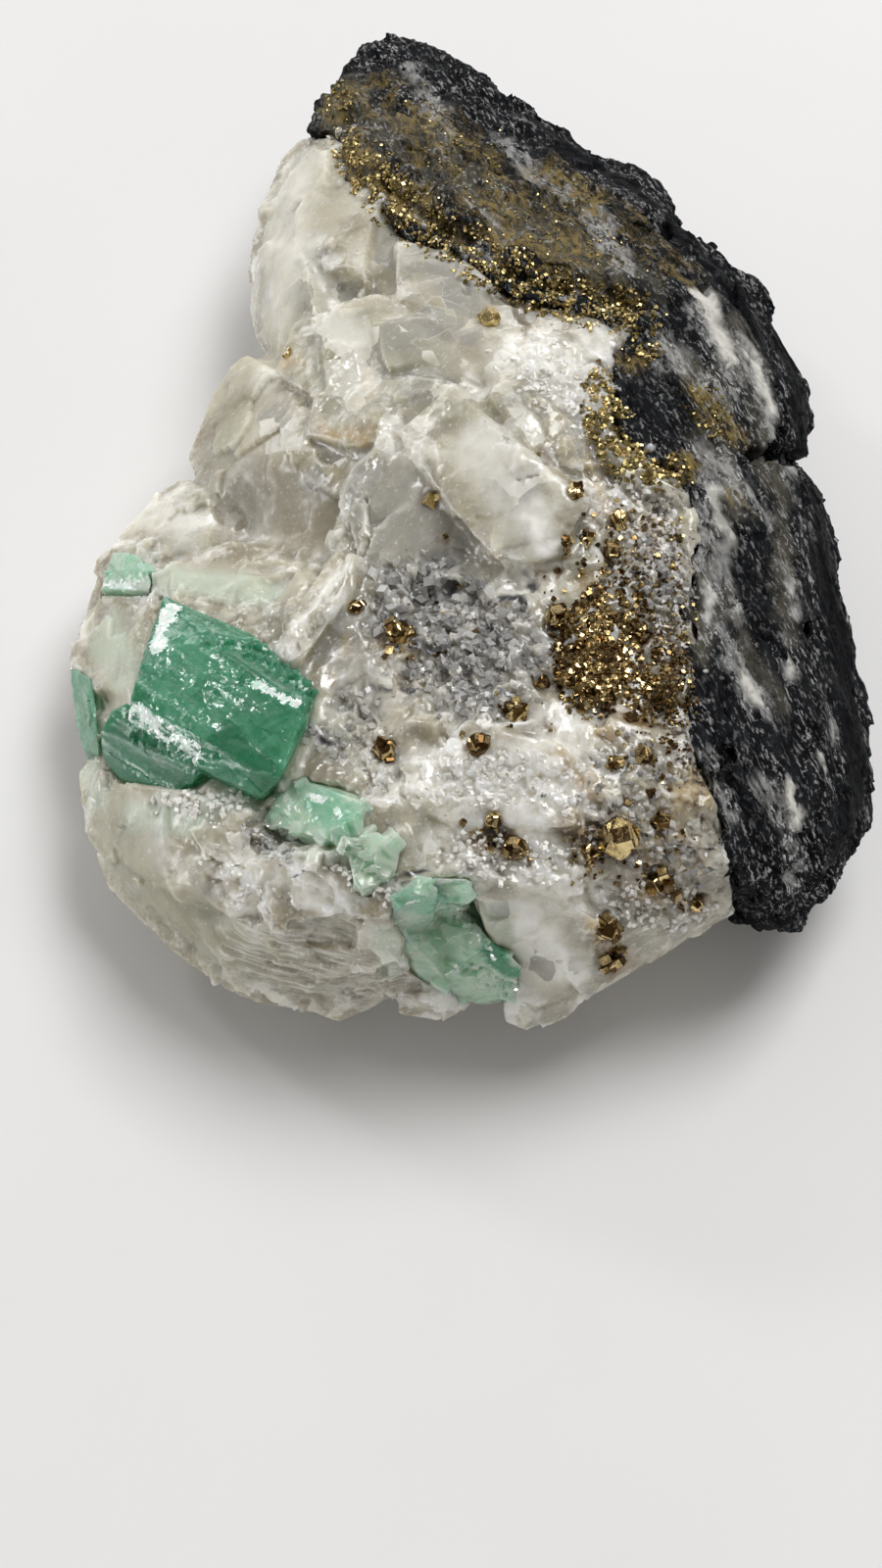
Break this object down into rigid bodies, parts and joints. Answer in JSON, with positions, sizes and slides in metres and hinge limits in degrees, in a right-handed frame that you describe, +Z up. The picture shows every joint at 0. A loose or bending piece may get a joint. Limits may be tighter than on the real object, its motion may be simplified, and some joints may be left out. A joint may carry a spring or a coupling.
{
  "type": "mineral specimen",
  "caption": "Hand specimen of white calcite on black shale, with green emerald crystals and brassy pyrite, lying on its flat broken underside.",
  "frame": {"origin": "middle of the bounding box in plan, at the height of the flat broken face that it rests on", "axes": "+Z up; +Y along the specimen's length, towards the narrow shale end; +X across it, towards the dark shale side"},
  "size_m": [0.0547, 0.0798, 0.0251],
  "materials": {
    "calcite": "milky white crystalline, satin",
    "shale": "rough, with a silky sheen on the layers",
    "emerald": "clear to cloudy green, glassy faces",
    "pale_emerald": "cloudy pale green, glassy faces",
    "pyrite": "bright crystal faces",
    "pyrite_crust": "fine grained, with rust between the grains"
  },
  "bodies": {
    "root": {"calcite": "calcite", "emerald_corner_chip": "pale_emerald", "emerald_edge_sliver": "pale_emerald", "emerald_front_group": "pale_emerald", "emerald_main": "emerald", "emerald_pale_lower": "pale_emerald", "emerald_pale_upper": "pale_emerald", "pyrite_black_sided": "pyrite", "pyrite_bright": "pyrite", "pyrite_corner": "pyrite", "pyrite_crust_brown": "pyrite_crust", "pyrite_crust_contact": "pyrite_crust", "pyrite_crust_mass": "pyrite_crust", "pyrite_crust_ring": "pyrite_crust", "pyrite_crust_tip": "pyrite_crust", "pyrite_crust_upper": "pyrite_crust", "pyrite_edge_lower": "pyrite", "pyrite_edge_upper": "pyrite", "pyrite_front_cluster": "pyrite", "pyrite_front_top": "pyrite", "pyrite_grey": "pyrite", "pyrite_hollow_pair": "pyrite", "pyrite_large": "pyrite", "pyrite_large_twin": "pyrite", "pyrite_left_dark": "pyrite", "pyrite_middle_dark": "pyrite", "pyrite_on_fan": "pyrite", "pyrite_ragged": "pyrite", "pyrite_right_lower": "pyrite", "pyrite_right_middle": "pyrite", "pyrite_right_upper": "pyrite", "pyrite_rim": "pyrite", "pyrite_round": "pyrite", "pyrite_shelf_left": "pyrite", "pyrite_shelf_middle": "pyrite", "pyrite_shelf_pair": "pyrite", "pyrite_shelf_round": "pyrite", "pyrite_slab_edge": "pyrite", "pyrite_upper_left": "pyrite", "shale": "shale"}
  },
  "joints": []
}
